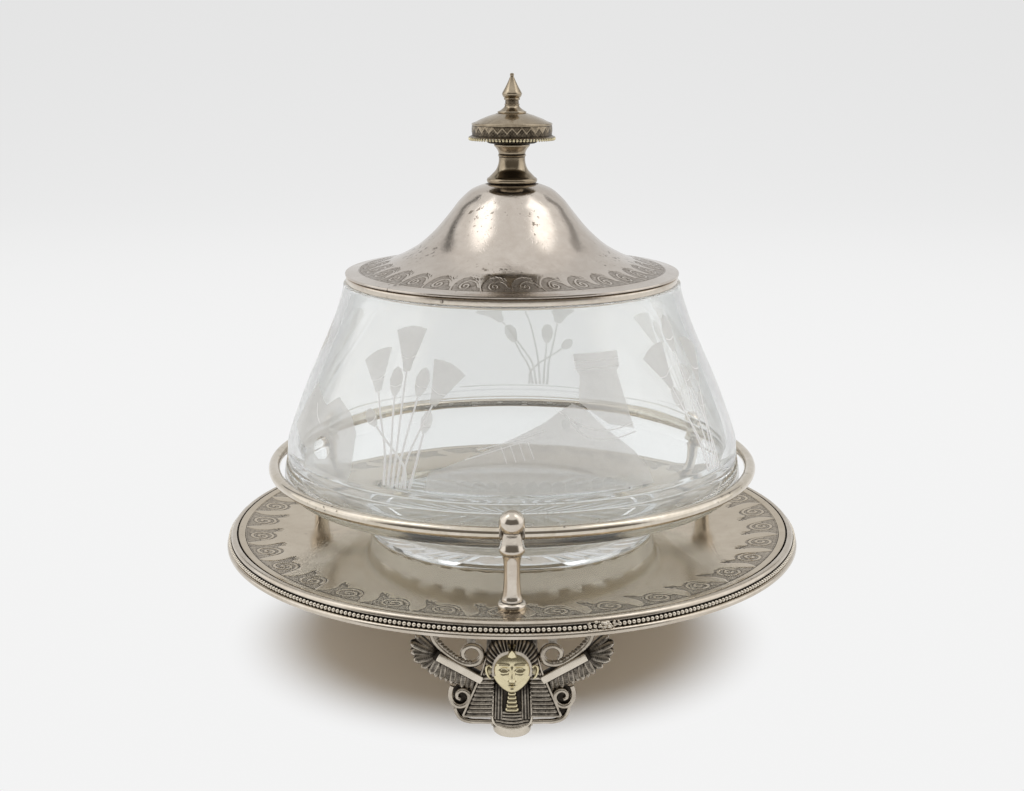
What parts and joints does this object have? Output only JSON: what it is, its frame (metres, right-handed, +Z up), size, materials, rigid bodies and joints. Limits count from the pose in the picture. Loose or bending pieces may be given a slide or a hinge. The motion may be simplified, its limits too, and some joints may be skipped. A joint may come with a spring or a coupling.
{
  "type": "covered glass dish on stand",
  "caption": "Covered glass bowl, loose in the gallery ring of a round footed metal tray, with a domed lid that lifts off by its knob.",
  "frame": {"origin": "on the floor under the three feet, on the tray's axis", "axes": "+Z up along the axis of tray, bowl and lid; -Y towards the front foot"},
  "size_m": [0.2, 0.2, 0.196],
  "materials": {
    "silver_plate": "polished silver plate, light tarnish",
    "lid_plate": "polished silver plate, light tarnish",
    "tray_plate": "silver plate, warm grey tarnish",
    "cast_plate": "cast, silver plated, dark in the hollows",
    "knob_metal": "silver plate worn to a bronze tone",
    "washer_metal": "plain metal",
    "clear_glass": "clear, etched and cut"
  },
  "bodies": {
    "stand": {"tray": "tray_plate", "tray_rim": "silver_plate", "rim_beading": "silver_plate", "gallery_ring": "silver_plate", "foot_front": "cast_plate", "foot_right": "cast_plate", "foot_left": "cast_plate", "post_front": "silver_plate", "post_right": "silver_plate", "post_left": "silver_plate"},
    "bowl": {"glass_bowl": "clear_glass", "mouth_collar": "silver_plate"},
    "lid": {"lid_shell": "lid_plate", "lid_bezel": "silver_plate", "finial_stem": "knob_metal", "finial_disc": "knob_metal", "finial_beading": "knob_metal", "finial_spire": "knob_metal", "lid_washer": "washer_metal", "lid_nut": "washer_metal"}
  },
  "joints": [
    {"name": "bowl_lift", "type": "slide", "parent": "stand", "child": "bowl", "axis": [0, 0, 1], "range_m": [0, 0.06]},
    {"name": "lid_lift", "type": "slide", "parent": "bowl", "child": "lid", "axis": [0, 0, 1], "range_m": [0, 0.06]}
  ]
}
